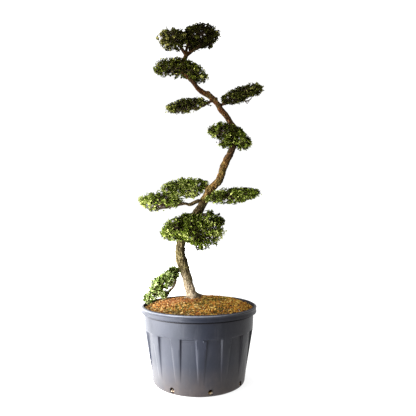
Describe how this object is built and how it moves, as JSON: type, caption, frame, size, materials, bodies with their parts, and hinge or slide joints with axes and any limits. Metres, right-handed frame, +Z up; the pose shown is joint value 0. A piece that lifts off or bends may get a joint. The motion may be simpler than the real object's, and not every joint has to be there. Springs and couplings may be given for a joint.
{
  "type": "antarctic beech bonsai",
  "caption": "Tall tree trained with a winding trunk and leafy cloud pads, growing in a round ribbed plastic container filled with bark mix.",
  "frame": {"origin": "middle of the container's flat base, on the ground", "axes": "+Z up along the container's axis; the tree's front faces -Y and its pads spread along X"},
  "size_m": [0.9386, 0.844, 2.6984],
  "materials": {
    "pot_plastic": "dark blue-grey moulded plastic with a soft sheen",
    "growing_mix": "loose tan bark chips with bits of moss",
    "bark": "rough ridged tan and grey bark",
    "dark_foliage": "dense small leaves, very dark green, slightly glossy",
    "mid_foliage": "dense small leaves, mid green, slightly glossy",
    "fresh_foliage": "looser small leaves, fresh green"
  },
  "bodies": {
    "root": {"pot": "pot_plastic", "soil": "growing_mix", "trunk": "bark", "pad_crown_right": "dark_foliage", "pad_crown_left": "dark_foliage", "pad_neck": "mid_foliage", "pad_arm_left": "dark_foliage", "pad_arm_right": "dark_foliage", "pad_elbow": "mid_foliage", "pad_waist_rear": "mid_foliage", "pad_waist_front": "mid_foliage", "pad_waist_right": "mid_foliage", "pad_skirt": "mid_foliage", "pad_hanging": "fresh_foliage"}
  },
  "joints": []
}
